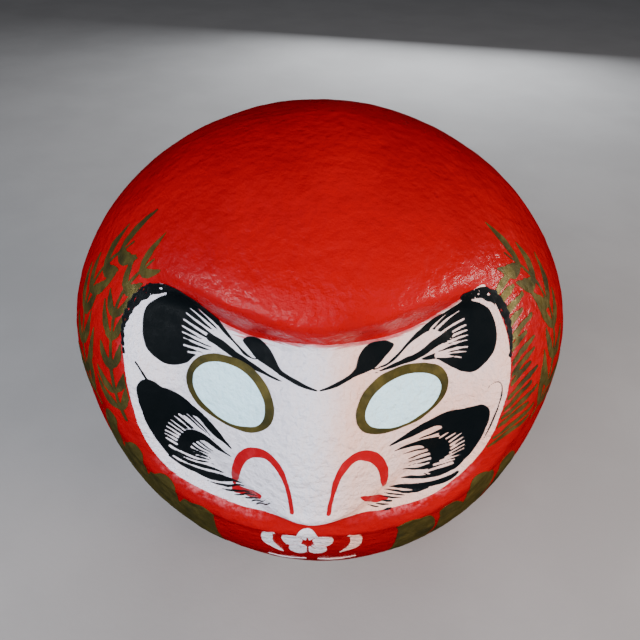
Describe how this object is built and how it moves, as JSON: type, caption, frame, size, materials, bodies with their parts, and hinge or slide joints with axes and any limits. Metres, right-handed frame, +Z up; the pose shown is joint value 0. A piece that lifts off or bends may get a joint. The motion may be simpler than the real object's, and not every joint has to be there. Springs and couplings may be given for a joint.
{
  "type": "daruma doll",
  "caption": "Large round-bottomed papier-mache daruma doll with a red hood and a painted white face, hollow, over a clay weight.",
  "frame": {"origin": "middle of the flat base, on the surface the doll stands on", "axes": "+Z up; -Y the way the face looks; +X to the right seen from the front"},
  "size_m": [0.4, 0.3894, 0.414],
  "materials": {
    "red_coat": "papier-mache under a glossy red coat",
    "pasted_paper": "bare pasted paper",
    "joint_paper": "pasted paper under a red coat",
    "fired_clay": "unglazed fired clay",
    "base_sheet": "bare paper board",
    "face_white": "shell-white paint, faintly bumpy",
    "ink": "black brush paint",
    "gold_paint": "dark gold brush paint",
    "stroke_red": "red brush paint"
  },
  "bodies": {
    "root": {"body_front": "red_coat", "body_back": "red_coat", "seam_strip_crown": "pasted_paper", "seam_strip_left": "pasted_paper", "seam_strip_right": "pasted_paper", "base_weight": "fired_clay", "joint_strip": "joint_paper", "base_paper": "base_sheet"}
  },
  "joints": []
}
